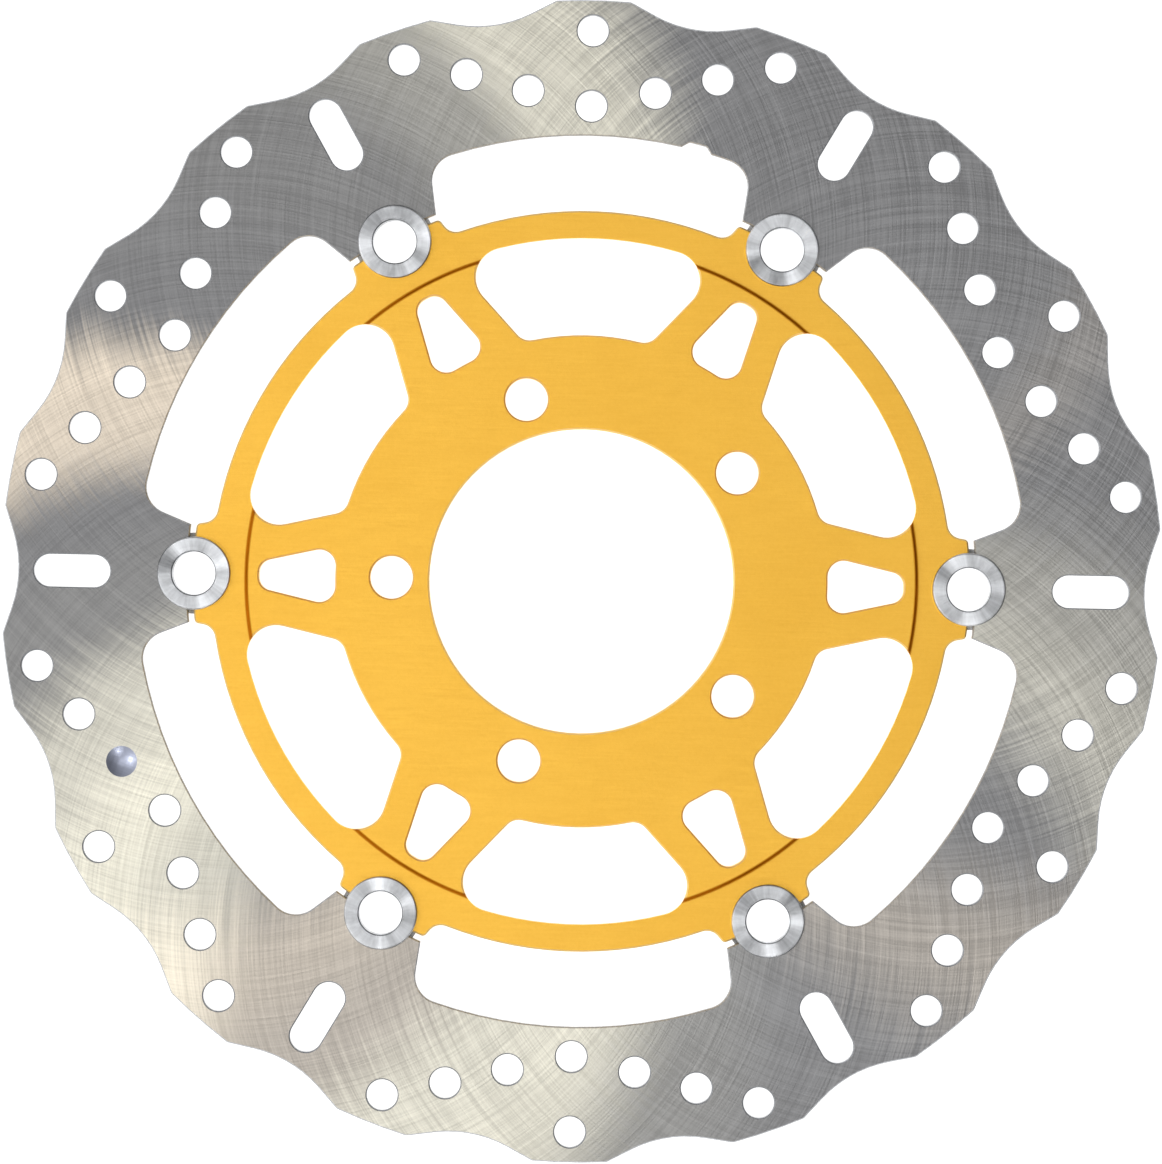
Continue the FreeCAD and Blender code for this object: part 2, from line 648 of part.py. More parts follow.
def bobbin_profile():
    """Half section of a bobbin, anticlockwise from the back end of its hole."""
    hole, shank, flange = "bobbin_hole_radius", "bobbin_body_radius", "flange_radius"
    tail, chamfer = "bobbin_tail", "bobbin_edge_break"
    groove = "bobbin_body_radius - groove_depth"
    face = f"{RING_FRONT} + flange_thickness"
    return [
        (hole, tail),
        (f"{shank} - {chamfer}", tail),
        (shank, f"{tail} + {chamfer}"),
        (shank, CIRCLIP_BACK),
        (groove, CIRCLIP_BACK),
        (groove, f"{CIRCLIP_FRONT} + groove_slack"),
        (shank, f"{CIRCLIP_FRONT} + groove_slack"),
        (shank, RING_FRONT),
        (flange, RING_FRONT),
        (flange, f"{face} - {chamfer}"),
        (f"{flange} - {chamfer}", face),
        (f"{hole} + {chamfer}", face),
        (hole, f"{face} - {chamfer}"),
    ]


def make_bobbin(number):
    body = new_body(f"bobbin_{number + 1}")
    sketch = new_sketch(body, f"BobbinSection{number + 1}", plane="XZ_Plane")
    draw_outline(sketch, bobbin_profile())
    revolve(body, sketch)
    set_station(body, number)
    return body


def make_flat_washer(number):
    body = new_body(f"flat_washer_{number + 1}")
    bottom = "ring_back - washer_thickness"
    sketch = new_sketch(body, f"FlatWasher{number + 1}", height=bottom)
    draw_circle(sketch, "outside", "washer_outer_radius")
    draw_circle(sketch, "inside", "bobbin_body_radius + washer_clearance")
    pad(body, sketch, "washer_thickness")
    set_station(body, number)
    return body


def draw_circlip_ears(sketch, radius):
    """Two circles, one each side of the circlip's gap."""
    for name, sign in (("left", "-1 *"), ("right", "1 *")):
        centre = polar("circlip_ear_offset", f"{sign} circlip_ear_angle")
        draw_circle(sketch, name, radius, centre)


def make_circlip(number):
    """A band that snaps into the bobbin's groove, open on its outward side."""
    body = new_body(f"circlip_{number + 1}")
    band = new_sketch(body, f"CirclipBand{number + 1}", height=CIRCLIP_BACK)
    draw_circle(band, "outside", "circlip_band_radius")
    draw_circle(band, "inside", "bobbin_body_radius - groove_depth + groove_slack / 2")
    pad(body, band, "circlip_thickness")
    ears = new_sketch(body, f"CirclipEars{number + 1}", height=CIRCLIP_BACK)
    draw_circlip_ears(ears, "circlip_ear_radius")
    ears_pad = pad(body, ears, "circlip_thickness")
    gap = new_sketch(body, f"CirclipGap{number + 1}", height=CIRCLIP_FRONT)
    near, far = "bobbin_hole_radius", f"circlip_band_radius + {CUTTER_OVERRUN}"
    low, high = "-1 * circlip_gap_half_width", "circlip_gap_half_width"
    draw_outline(gap, [(near, low), (far, low), (far, high), (near, high)])
    cut_through(body, gap)
    eyes = new_sketch(body, f"CirclipEyes{number + 1}", height=CIRCLIP_FRONT)
    draw_circlip_ears(eyes, "circlip_eye_radius")
    cut_through(body, eyes)
    set_station(body, number)
    return body


def wavy_edge(radius, middle):
    """A closed edge about the Z axis that rises and falls as it goes round."""
    slack, waves = size("wave_slack"), size("wave_count")
    swing = (size("wave_gap") - size("wave_thickness")) / 2 - slack
    points = []
    for step in range(WAVE_POINTS):
        turn = 2 * math.pi * step / WAVE_POINTS
        rise = middle + swing * math.cos(waves * turn)
        points.append(FreeCAD.Vector(radius * math.cos(turn), radius * math.sin(turn), rise))
    curve = Part.BSplineCurve()
    curve.interpolate(points, PeriodicFlag=True)
    return curve.toShape()


def wave_washer_shape():
    """A thin flat strip bent up and down, closed by four ruled faces."""
    half = size("wave_thickness") / 2
    middle = size(f"{CIRCLIP_FRONT} + wave_gap / 2")
    inner, outer = size("wave_inner_radius"), size("wave_outer_radius")
    corners = [(inner, -half), (outer, -half), (outer, half), (inner, half)]
    edges = [wavy_edge(radius, middle + offset) for radius, offset in corners]
    pairs = zip(edges, edges[1:] + edges[:1])
    faces = [Part.makeRuledSurface(first, second) for first, second in pairs]
    solid = Part.makeSolid(Part.makeShell(faces))
    if solid.Volume < 0:
        solid.reverse()
    return solid


def make_wave_washer(number):
    washer = document.addObject("Part::Feature", f"wave_washer_{number + 1}")
    washer.Label = f"wave_washer_{number + 1}"
    washer.Shape = wave_washer_shape()
    set_station(washer, number)
    return washer


# ---- the whole disc ----------------------------------------------------------

def check_document():
    """Stop on any object that failed to compute."""
    for item in document.Objects:
        bad = [state for state in item.State if state in ("Invalid", "Error")]
        if bad:
            raise RuntimeError(f"{item.Label}: {bad}")


def write_part(part):
    shape = part.Shape
    if shape.isNull() or not shape.isValid() or len(shape.Solids) != 1:
        raise RuntimeError(f"{part.Label}: not one valid solid")
    shape.exportStep(f"parts/{part.Label}.step")
    print(f"{part.Label}: {shape.Volume / 1000:.3f} cm3")


fill_sheet()
parts = [make_carrier(), make_friction_ring()]
for station in range(int(size("station_count"))):
    parts.append(make_bobbin(station))
    parts.append(make_flat_washer(station))
    parts.append(make_wave_washer(station))
    parts.append(make_circlip(station))
document.recompute()
check_document()
os.makedirs("parts", exist_ok=True)
for part in parts:
    write_part(part)
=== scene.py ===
# %% [markdown]
# # A semi-floating brake disc, dressed for a studio picture
#
# The engineering model gives us a motorcycle brake disc: a petal-edged steel
# friction ring, a gold carrier, and six bobbins with their washers and circlips.
# Every solid is already in its place, at full size, in metres. This notebook gives
# each piece a finish, and remodels the small turned and bent pieces more finely. The
# finishes of the ring, the carrier and the bobbins' flanges follow a real disc, and
# those of the pieces hidden behind them are guesses. We start by loading the solids.
# Nothing that is loaded is ever moved, so positions can be read from it at any time.

# %% Load the solids
import bpy
import math
from mathutils import Matrix, Vector


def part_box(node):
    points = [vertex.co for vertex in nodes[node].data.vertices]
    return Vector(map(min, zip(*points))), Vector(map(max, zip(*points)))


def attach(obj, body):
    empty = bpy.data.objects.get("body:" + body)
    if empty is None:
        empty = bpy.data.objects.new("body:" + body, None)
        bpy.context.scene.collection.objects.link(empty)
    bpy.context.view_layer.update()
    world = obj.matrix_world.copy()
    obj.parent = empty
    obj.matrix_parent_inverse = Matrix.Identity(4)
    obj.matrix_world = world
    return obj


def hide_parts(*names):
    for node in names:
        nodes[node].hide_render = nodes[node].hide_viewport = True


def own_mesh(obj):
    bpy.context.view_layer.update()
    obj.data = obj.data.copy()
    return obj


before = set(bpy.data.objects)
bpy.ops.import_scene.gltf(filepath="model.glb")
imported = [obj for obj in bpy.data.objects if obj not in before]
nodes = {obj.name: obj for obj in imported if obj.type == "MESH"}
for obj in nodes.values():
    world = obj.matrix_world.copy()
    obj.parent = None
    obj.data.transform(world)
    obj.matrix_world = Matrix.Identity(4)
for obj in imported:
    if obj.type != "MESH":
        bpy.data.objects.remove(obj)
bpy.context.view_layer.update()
MM = 0.001
STATIONS = range(6)

# %% [markdown]
# ## Reading the driving sizes from the solids
#
# A finish on this disc is nearly always laid out round an axis: the arcs ground into
# the friction ring are spaced round the disc's axis, and each bobbin is turned about
# its own.
# So we need those axes and a few radii, and most come from the boxes round the
# solids. Some a box can't show, such as the hole in a bobbin or the place of the
# dimple. Those are repeated in the cells below, so they have to be changed
# there if the disc is redesigned.

# %% Axes and levels
def middle_of(node):
    low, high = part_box(node)
    return (low + high) / 2


bobbin_axes = [middle_of(f"bobbin_{number + 1}") for number in STATIONS]
ring_low, ring_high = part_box("friction_ring")
RING_BACK, RING_FRONT = ring_low.z, ring_high.z
OUTSIDE_RADIUS = ring_high.y
LOWEST = min(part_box(f"bobbin_{number + 1}")[0].z for number in STATIONS)
print(f"outside radius {OUTSIDE_RADIUS / MM:.1f} mm, ring front at {RING_FRONT / MM:.1f} mm")
print(f"the disc rests on its bobbins at {LOWEST / MM:.1f} mm")

# %% [markdown]
# ## A small kit for building finishes
#
# Blender keeps a finish as a graph of shader nodes. Wiring a graph by hand in
# Python is wordy, so this cell defines a `Finish`: it makes the material, keeps its
# node tree, and has one short method for each kind of node that we use. A sum such
# as a radius or an angle then reads almost like a formula.

# %% The finish kit
class Finish:
    """One material and short ways to wire its nodes."""

    def __init__(self, name, metallic, roughness):
        self.material = bpy.data.materials.new(name)
        self.material.use_nodes = True
        self.tree = self.material.node_tree
        self.shader = self.tree.nodes["Principled BSDF"]
        self.shader.inputs["Metallic"].default_value = metallic
        self.shader.inputs["Roughness"].default_value = roughness

    def add(self, kind, **settings):
        node = self.tree.nodes.new("ShaderNode" + kind)
        for name, value in settings.items():
            setattr(node, name, value)
        return node

    def feed(self, socket, value):
        """Give an input socket another node's output, or a plain value."""
        if isinstance(value, bpy.types.NodeSocket):
            self.tree.links.new(value, socket)
        else:
            socket.default_value = value

    def math(self, operation, first, second=0.0):
        node = self.add("Math", operation=operation)
        self.feed(node.inputs[0], first)
        self.feed(node.inputs[1], second)
        return node.outputs[0]

    def between_0_and_1(self, value):
        """The value, held between 0 and 1."""
        return self.math("MAXIMUM", self.math("MINIMUM", value, 1.0), 0.0)

    def distance(self, x, y):
        """Distance from the Z axis of a point at x and y."""
        return self.math("SQRT", self.math("ADD", self.math("MULTIPLY", x, x), self.math("MULTIPLY", y, y)))

    def place(self):
        """X, Y and Z of the point being shaded, in metres, in the disc's frame."""
        split = self.add("SeparateXYZ")
        self.feed(split.inputs[0], self.add("TexCoord").outputs["Object"])
        return split.outputs[0], split.outputs[1], split.outputs[2]

    def level_faces(self):
        """1 on the front and back faces, 0 on the walls and the chamfers."""
        split = self.add("SeparateXYZ")
        self.feed(split.inputs[0], self.add("TexCoord").outputs["Normal"])
        return self.math("GREATER_THAN", self.math("ABSOLUTE", split.outputs[2]), 0.95)

    def inside_ball(self, centre, radius):
        """1 at points nearer to the centre than the radius, else 0."""
        node = self.add("VectorMath", operation="DISTANCE")
        self.feed(node.inputs[0], self.add("TexCoord").outputs["Object"])
        self.feed(node.inputs[1], centre)
        return self.math("LESS_THAN", node.outputs["Value"], radius)

    def blend(self, *shares):
        """The sum of (pattern, share) pairs."""
        total = None
        for pattern, share in shares:
            part = self.math("MULTIPLY", pattern, share)
            total = part if total is None else self.math("ADD", total, part)
        return total

    def plus(self, pattern, swing, middle):
        """A pattern from -1 to 1, made a level about a middle value."""
        varied = self.math("MULTIPLY_ADD", pattern, swing)
        self.feed(varied.node.inputs[2], middle)
        return varied

    def point(self, x, y, z):
        node = self.add("CombineXYZ")
        for socket, value in zip(node.inputs, (x, y, z)):
            self.feed(socket, value)
        return node.outputs[0]

    def noise(self, where, scale, detail=2.0):
        """Noise from about -1 to 1, with this many grains to a metre."""
        node = self.add("TexNoise")
        self.feed(node.inputs["Vector"], where)
        node.inputs["Scale"].default_value = scale
        node.inputs["Detail"].default_value = detail
        spread = self.math("SUBTRACT", node.outputs["Fac"], 0.5)
        return self.math("MULTIPLY", spread, 4.0)

    def ramp(self, where, stops, easing="EASE"):
        """A colour for each value from 0 to 1, through (value, colour) stops."""
        node = self.add("ValToRGB")
        self.feed(node.inputs[0], where)
        bar = node.color_ramp
        bar.interpolation = easing
        for index, (value, colour) in enumerate(stops):
            stop = bar.elements[index] if index < 2 else bar.elements.new(value)
            stop.position = value
            stop.color = (*colour, 1.0)
        return node.outputs[0]

    def mix(self, blend, first, second, share=1.0):
        """Blend two colours."""
        node = self.add("Mix", data_type="RGBA", blend_type=blend)
        self.feed(node.inputs["Factor"], share)
        self.feed(node.inputs[6], first)
        self.feed(node.inputs[7], second)
        return node.outputs[2]

    def colour(self, value):
        self.feed(self.shader.inputs["Base Color"], value)

    def roughness(self, middle, swing, pattern):
        """Roughness about a middle value, varied by a pattern from -1 to 1."""
        self.feed(self.shader.inputs["Roughness"], self.plus(pattern, swing, middle))

    def bump(self, height, depth):
        """Raise and lower the surface by depth, in metres, following a pattern."""
        node = self.add("Bump")
        node.inputs["Distance"].default_value = depth
        self.feed(node.inputs["Height"], height)
        self.feed(self.shader.inputs["Normal"], node.outputs[0])


print("finish kit ready")

# %% [markdown]
# ## The friction ring: cross-ground stainless steel
#
# The last operation on a friction ring is grinding on a rotary table. A cup wheel
# overlaps the ring, and each grain leaves an arc that crosses it at about 45
# degrees. The wheel cuts again as it leaves, so a second family of arcs crosses the
# first the other way. Light catches each family only where its scratches lie
# square to a lamp, and that gives a ground ring its broad bright and dull sectors.
#
# We could press the arcs in as a picture, but a formula has no edges and no limit
# to its sharpness. Take scratches that are circles through the disc's axis, of
# radius c. A point at radius r and direction a lies on the two such circles whose
# centres are in the directions a + d and a - d, where cos d = r / 2c. Noise that is
# fine along that direction and slow along r is then a family of scratches. The
# sectors in which a family glints lean the way that the other family's lines do, but
# half as far. The crossing family cuts each glint up, but never puts it out.
#
# The glints here are colour, not reflections. Their directions and strengths were
# set for one view and one light, so they stay at the same place on the ring
# when the lamps or the camera move. True glints would travel over the surface.

# %% Arcs and glints of the grinding
WHEEL_RADIUS = 93.0 * MM
FULL_TURN = 2 * math.pi
EIGHTH_TURN = FULL_TURN / 8
SEAM = 10
FAINTEST_GLINT = 0.7
CREAM = (1.0, 0.95, 0.73)
TAN = (1.0, 0.82, 0.58)

# stops of a ramp of glints: direction in degrees, strength, tint
GLINTS_OF_LEFT_ARCS = [
    (216, 0.0, TAN),
    (231, 0.27, TAN),
    (243, 0.20, TAN),
    (256, 0.43, CREAM),
    (267, 0.47, CREAM),
    (282, 0.06, CREAM),
    (298, 0.0, CREAM),
    (330, 0.0, CREAM),
    (347, 0.28, CREAM),
    (358, 0.16, CREAM),
    (368, 0.02, CREAM),
]
GLINTS_OF_RIGHT_ARCS = [
    (16, 0.0, TAN),
    (24, 0.06, TAN),
    (32, 0.0, TAN),
    (77, 0.0, CREAM),
    (91, 0.43, CREAM),
    (99, 0.42, CREAM),
    (107, 0.14, CREAM),
    (122, 0.02, CREAM),
    (149, 0.0, TAN),
    (158, 0.44, TAN),
    (165, 0.42, TAN),
    (174, 0.0, TAN),
    (187, 0.03, CREAM),
    (198, 0.33, CREAM),
    (210, 0.50, CREAM),
    (219, 0.36, CREAM),
    (233, 0.0, CREAM),
    (300, 0.0, TAN),
    (316, 0.18, TAN),
    (332, 0.0, TAN),
]


def glint_stops(glints):
    """Stops of a ramp once round the disc, which starts and ends in a dull sector."""
    stops = []
    for direction, strength, tint in glints:
        stops.append(((direction - SEAM) / 360, tuple(strength * channel for channel in tint)))
    return stops


def scratch_family(finish, centre, radius):
    """Scratches along circles whose centres lie in the direction centre."""
    across = finish.math("MULTIPLY", finish.math("COSINE", centre), WHEEL_RADIUS)
    up = finish.math("MULTIPLY", finish.math("SINE", centre), WHEEL_RADIUS)
    along = finish.math("MULTIPLY", radius, 0.03)
    where = finish.point(across, up, along)
    fine = finish.noise(where, 1900.0, 2.0)
    coarse = finish.noise(where, 640.0, 1.0)
    broad = finish.noise(where, 190.0, 1.0)
    return finish.blend((fine, 0.90), (coarse, 0.40), (broad, 0.25))


def glow(finish, lines, scratches, crossing, glints):
    """The glints of one family of scratches as a colour, cut up by the other family."""
    wobble = finish.math("MULTIPLY", scratches, 0.03)
    turns = finish.math("DIVIDE", finish.math("ADD", lines, wobble), FULL_TURN)
    round_the_disc = finish.math("FRACT", finish.math("SUBTRACT", turns, SEAM / 360))
    sectors = finish.ramp(round_the_disc, glint_stops(glints))
    cut_up = finish.math("ADD", finish.blend((scratches, 0.27), (crossing, 0.24)), 1.0)
    return finish.mix("MULTIPLY", sectors, finish.math("MAXIMUM", cut_up, FAINTEST_GLINT))


print(len(GLINTS_OF_LEFT_ARCS) + len(GLINTS_OF_RIGHT_ARCS), "stops in the two ramps of glints")

# %% [markdown]
# Now the finish itself. The dull steel between the glints is a cool grey, with painted
# light that makes it a little lighter on one side of the disc. Both families darken and
# lighten it, but where two deep scratches cross, the darkness has a limit. The painted
# glints are added, and the same scratches roughen and dent the surface. The grinding
# never touched the walls and the chamfers. The walls get upright streaks, like those
# of a laser cut, and the chamfers get the same finish. One blind dimple shows how far
# the ring may wear. It has the shape that a ball end mill leaves, and every point
# inside that ball gets a plain steel coloured by a painted blue reflection.

# %% The friction ring's finish
DULL_STEEL = 0.230
COOL = (1.0, 1.0, 1.02, 1.0)
PAINTED_LIGHT_SIDE = math.radians(340)
DEEPEST = -1.0
LASER_CUT = (0.49, 0.50, 0.52, 1.0)
PAINTED_REFLECTION_BLUE = (0.44, 0.47, 0.58, 1.0)
DIMPLE_REACH, DIMPLE_DIRECTION = 127.4, 202.6
DIMPLE_WIDTH, DIMPLE_DEPTH = 8.0, 1.4


def dimple_ball():
    """Centre and radius of the ball that fits the dimple, in metres."""
    radius = ((DIMPLE_WIDTH / 2) ** 2 / DIMPLE_DEPTH + DIMPLE_DEPTH) / 2 * MM
    turn_to = math.radians(DIMPLE_DIRECTION)
    x, y = DIMPLE_REACH * math.cos(turn_to) * MM, DIMPLE_REACH * math.sin(turn_to) * MM
    return (x, y, RING_FRONT - DIMPLE_DEPTH * MM + radius), radius


def make_ground_steel():
    finish = Finish("cross_ground_stainless", metallic=1.0, roughness=0.36)
    x, y, z = finish.place()
    radius = finish.distance(x, y)
    direction = finish.math("ARCTAN2", y, x)
    half_angle = finish.math("ARCCOSINE", finish.math("DIVIDE", radius, 2 * WHEEL_RADIUS))
    left_arcs = scratch_family(finish, finish.math("ADD", direction, half_angle), radius)
    right_arcs = scratch_family(finish, finish.math("SUBTRACT", direction, half_angle), radius)
    slant = finish.math("MULTIPLY", finish.math("SUBTRACT", half_angle, EIGHTH_TURN), 0.5)
    left_lines = finish.math("SUBTRACT", direction, slant)
    right_lines = finish.math("ADD", direction, slant)
    left_glow = glow(finish, left_lines, left_arcs, right_arcs, GLINTS_OF_LEFT_ARCS)
    right_glow = glow(finish, right_lines, right_arcs, left_arcs, GLINTS_OF_RIGHT_ARCS)
    both = finish.math("MAXIMUM", finish.math("ADD", left_arcs, right_arcs), DEEPEST)
    # painted light: the dull steel is a little lighter towards one side of the disc
    painted_side_light = finish.math("COSINE", finish.math("SUBTRACT", direction, PAINTED_LIGHT_SIDE))
    level = finish.math("MULTIPLY", finish.plus(painted_side_light, 0.027, DULL_STEEL), finish.plus(both, 0.26, 1.0))
    dull = finish.mix("MULTIPLY", COOL, level)
    ground = finish.mix("ADD", finish.mix("ADD", dull, left_glow), right_glow)
    streaks = finish.noise(finish.point(x, y, finish.math("MULTIPLY", z, 0.08)), 3200.0, 2.0)
    cut = finish.mix("MULTIPLY", LASER_CUT, finish.plus(streaks, 0.18, 1.0))
    steel = finish.mix("MIX", cut, ground, finish.level_faces())
    # painted reflection: inside the dimple the steel gets a flat blue colour
    in_dimple = finish.inside_ball(*dimple_ball())
    finish.colour(finish.mix("MIX", steel, PAINTED_REFLECTION_BLUE, in_dimple))
    worn = finish.blend((both, 0.06), (in_dimple, 0.04))
    finish.roughness(0.36, 1.0, worn)
    finish.bump(both, 0.012 * MM)
    return finish.material


ground_steel = make_ground_steel()
print("made", ground_steel.name)

# %% [markdown]
# ## The carrier: satin gold anodising
#
# We take the carrier to be rolled aluminium plate, blasted to a satin surface and
# dyed gold in the anodising tank. Anodising copies what is under it, so a straight
# rolling grain and a fine blast both still show faintly, and the dye is never quite
# even. That is four noises: a stretched one for the grain, a fine one for the blast,
# and a coarser and a slow one for the dye. The chamfers and walls are made paler.
#
# Seen from the front, the corner under the turned step lies in shade as a brown line.
# Our room is too even to shade it, so that shade is painted in the colour, equally
# strong all the way round. The painted shade covers the whole wall of the step, which
# looks dark brown from the side.

# %% The carrier's finish
GOLD = (0.95, 0.545, 0.078, 1.0)
DEEP_GOLD = (0.84, 0.44, 0.046, 1.0)
PALE_GOLD = (0.96, 0.68, 0.26, 1.0)
STEP_SHADE_GOLD = (0.47, 0.155, 0.004, 1.0)
STEP_RADIUS, STEP_REACH = 86.45 * MM, 0.35 * MM
MIDDLE_LEVEL, HALF_RING = (RING_FRONT + RING_BACK) / 2, (RING_FRONT - RING_BACK) / 2


def make_gold_anodising():
    finish = Finish("satin_gold_anodising", metallic=1.0, roughness=0.42)
    x, y, z = finish.place()
    rolled = finish.point(finish.math("MULTIPLY", x, 0.06), y, z)
    grain = finish.noise(rolled, 2200.0, 2.0)
    blast = finish.noise(finish.point(x, y, z), 4200.0, 2.0)
    dye = finish.noise(finish.point(x, y, z), 28.0, 1.0)
    mottle = finish.noise(finish.point(x, y, z), 1100.0, 2.0)
    surface = finish.blend((grain, 0.5), (blast, 0.5))
    depth = finish.math("ADD", finish.blend((surface, 0.18), (dye, 0.12), (mottle, 0.12)), 0.20)
    plate = finish.mix("MIX", GOLD, DEEP_GOLD, depth)
    gold = finish.mix("MIX", PALE_GOLD, plate, finish.level_faces())
    # painted shade: a dark brown line along the turned step, the same all the way round
    off_step = finish.math("ABSOLUTE", finish.math("SUBTRACT", finish.distance(x, y), STEP_RADIUS))
    near = finish.math("SUBTRACT", 2.0, finish.math("DIVIDE", off_step, STEP_REACH))
    off_middle = finish.math("ABSOLUTE", finish.math("SUBTRACT", z, MIDDLE_LEVEL))
    above_floor = finish.math("GREATER_THAN", off_middle, HALF_RING - 0.05 * MM)
    in_step_shade = finish.math("MULTIPLY", finish.between_0_and_1(near), above_floor)
    finish.colour(finish.mix("MIX", gold, STEP_SHADE_GOLD, in_step_shade))
    finish.roughness(0.42, 0.05, surface)
    finish.bump(surface, 0.01 * MM)
    return finish.material


gold_anodising = make_gold_anodising()
print("made", gold_anodising.name)

# %% [markdown]
# ## Turned steel for the bobbins and washers
#
# A bobbin comes off a lathe. The tool leaves fine rings round the bobbin's own
# axis, and rings like that spread each lamp into two bright fans. Cycles bends the
# light so when the shader is anisotropic and its tangent runs round the piece. In a
# room as even as ours those fans are weak, so a noise of the direction, broad and
# fine, adds uneven painted fans of light to the colour, and a noise of the distance
# from the axis adds the rings. Each turned piece keeps its own unturned place in an
# attribute, because its axis isn't the disc's. Its place on the disc shifts the noise
# of the direction, so that no two bobbins look alike, and that bends the painted fans
# a little as well.

# %% Turned and rolled finishes
OWN_PLACE = "own_place"
COOL_STEEL = (0.97, 0.99, 1.02)


def make_turned_steel(name, level, rings_per_metre, roughness):
    finish = Finish(name, metallic=1.0, roughness=roughness)
    own = finish.add("Attribute", attribute_name=OWN_PLACE)
    split = finish.add("SeparateXYZ")
    finish.feed(split.inputs[0], own.outputs["Vector"])
    x, y, z = split.outputs
    radius = finish.distance(x, y)
    rings = finish.noise(finish.point(radius, 0.0, z), rings_per_metre, 3.0)
    disc_x, disc_y, _ = finish.place()
    station = finish.blend((disc_x, 30.0), (disc_y, 30.0))
    around = finish.point(finish.math("DIVIDE", x, radius), finish.math("DIVIDE", y, radius), station)
    # painted highlights: broad and fine bright fans by direction, as colour
    painted_fans = finish.noise(around, 1.3, 1.0)
    painted_rays = finish.noise(around, 9.0, 2.0)
    patches = finish.noise(own.outputs["Vector"], 420.0, 2.0)
    # the turning marks, with the painted fans mixed into them
    marks = finish.blend((painted_fans, 0.60), (painted_rays, 0.14), (patches, 0.08), (rings, 0.10))
    steel = tuple(level * channel for channel in COOL_STEEL) + (1.0,)
    finish.colour(finish.mix("MULTIPLY", steel, finish.math("ADD", marks, 1.0)))
    finish.roughness(roughness, 0.05, rings)
    finish.bump(rings, 0.006 * MM)
    finish.shader.inputs["Anisotropic"].default_value = 0.9
    tangent = finish.add("Tangent", direction_type="RADIAL", axis="Z")
    finish.feed(finish.shader.inputs["Tangent"], tangent.outputs[0])
    return finish.material


def make_rolled_steel(name, colour, roughness):
    finish = Finish(name, metallic=1.0, roughness=roughness)
    x, y, z = finish.place()
    grain = finish.noise(finish.point(x, finish.math("MULTIPLY", y, 0.15), z), 3000.0, 2.0)
    stains = finish.noise(finish.point(x, y, z), 300.0, 2.0)
    share = finish.math("ADD", finish.blend((grain, 0.08), (stains, 0.10)), 1.0)
    finish.colour(finish.mix("MULTIPLY", (*colour, 1.0), share))
    finish.roughness(roughness, 0.07, grain)
    finish.bump(grain, 0.006 * MM)
    return finish.material


turned_steel = make_turned_steel("turned_bobbin_steel", 0.60, 5200.0, 0.36)
washer_steel = make_turned_steel("turned_washer_steel", 0.34, 3600.0, 0.34)
spring_steel = make_rolled_steel("blued_spring_steel", (0.30, 0.31, 0.34), 0.33)
circlip_steel = make_rolled_steel("phosphated_circlip_steel", (0.075, 0.075, 0.08), 0.5)
print("made", turned_steel.name, "and", washer_steel.name)

# %% [markdown]
# ## Dressing the solids that keep their shape
#
# The friction ring, the carrier and the circlips have the right shape already, so
# they only get a finish. A loaded solid may have come with a plain material, which
# we clear first.

# %% Dress the ring, the carrier and the circlips
def dress(piece, material):
    piece.data.materials.clear()
    piece.data.materials.append(material)


dress(nodes["friction_ring"], ground_steel)
dress(nodes["carrier"], gold_anodising)
for number in STATIONS:
    dress(nodes[f"circlip_{number + 1}"], circlip_steel)
print("dressed", 2 + len(STATIONS), "solids")

# %% [markdown]
# ## Turning a piece as on a lathe
#
# Bobbins and washers are bodies of revolution. Blender can spin a section, but
# pulling a circle of edges along the section is as quick and keeps full control of
# each ring: extrude the circle, move it, scale it, and repeat until it is back at
# its start. Doubles are then merged and the normals made to point outwards. A
# narrow bevel catches the light on the edges, as a real broken edge does. Smooth
# shading would bend the light over a whole flat face from its edges, so each long
# line of the section first gets a point close to each of its ends, to hold it flat.

# %% The lathe
FACETS = 128
HOLD = 0.13


def select_none():
    if bpy.context.object and bpy.context.object.mode != "OBJECT":
        bpy.ops.object.mode_set(mode="OBJECT")
    bpy.ops.object.select_all(action="DESELECT")


def hold_flat(section):
    """Add a point near each end of every long line of a closed section."""
    held = []
    for start, end in zip(section, section[1:] + section[:1]):
        start, end = Vector(start), Vector(end)
        held.append(start)
        if (end - start).length > 4 * HOLD:
            step = (end - start).normalized() * HOLD
            held += [start + step, end - step]
    return held


def turn(name, section, bevel):
    """A closed body of revolution about Z through (radius, height) points, in mm."""
    select_none()
    points = [(radius * MM, height * MM) for radius, height in hold_flat(section)]
    radius, height = points[0]
    bpy.ops.mesh.primitive_circle_add(
        vertices=FACETS, radius=radius, fill_type="NOTHING", location=(0, 0, height)
    )
    piece = bpy.context.object
    piece.name = name
    bpy.ops.object.transform_apply(location=True, rotation=True, scale=True)
    bpy.ops.object.mode_set(mode="EDIT")
    bpy.ops.mesh.select_all(action="SELECT")
    for next_radius, next_height in points[1:] + points[:1]:
        rise = (0, 0, next_height - height)
        bpy.ops.mesh.extrude_edges_move(TRANSFORM_OT_translate={"value": rise})
        spread = next_radius / radius
        bpy.ops.transform.resize(value=(spread, spread, 1), center_override=(0, 0, next_height))
        radius, height = next_radius, next_height
    bpy.ops.mesh.select_all(action="SELECT")
    bpy.ops.mesh.remove_doubles(threshold=0.001 * MM)
    bpy.ops.mesh.normals_make_consistent(inside=False)
    bpy.ops.object.mode_set(mode="OBJECT")
    edge = piece.modifiers.new("broken_edges", "BEVEL")
    edge.width = bevel * MM
    edge.segments = 2
    edge.limit_method = "ANGLE"
    edge.angle_limit = math.radians(25)
    bpy.ops.object.modifier_apply(modifier=edge.name)
    return piece


def remember_own_place(piece):
    """Keep each point's place about the piece's own axis, for its finish."""
    marks = piece.data.attributes.new(OWN_PLACE, "FLOAT_VECTOR", "POINT")
    for mark, vertex in zip(marks.data, piece.data.vertices):
        mark.vector = vertex.co


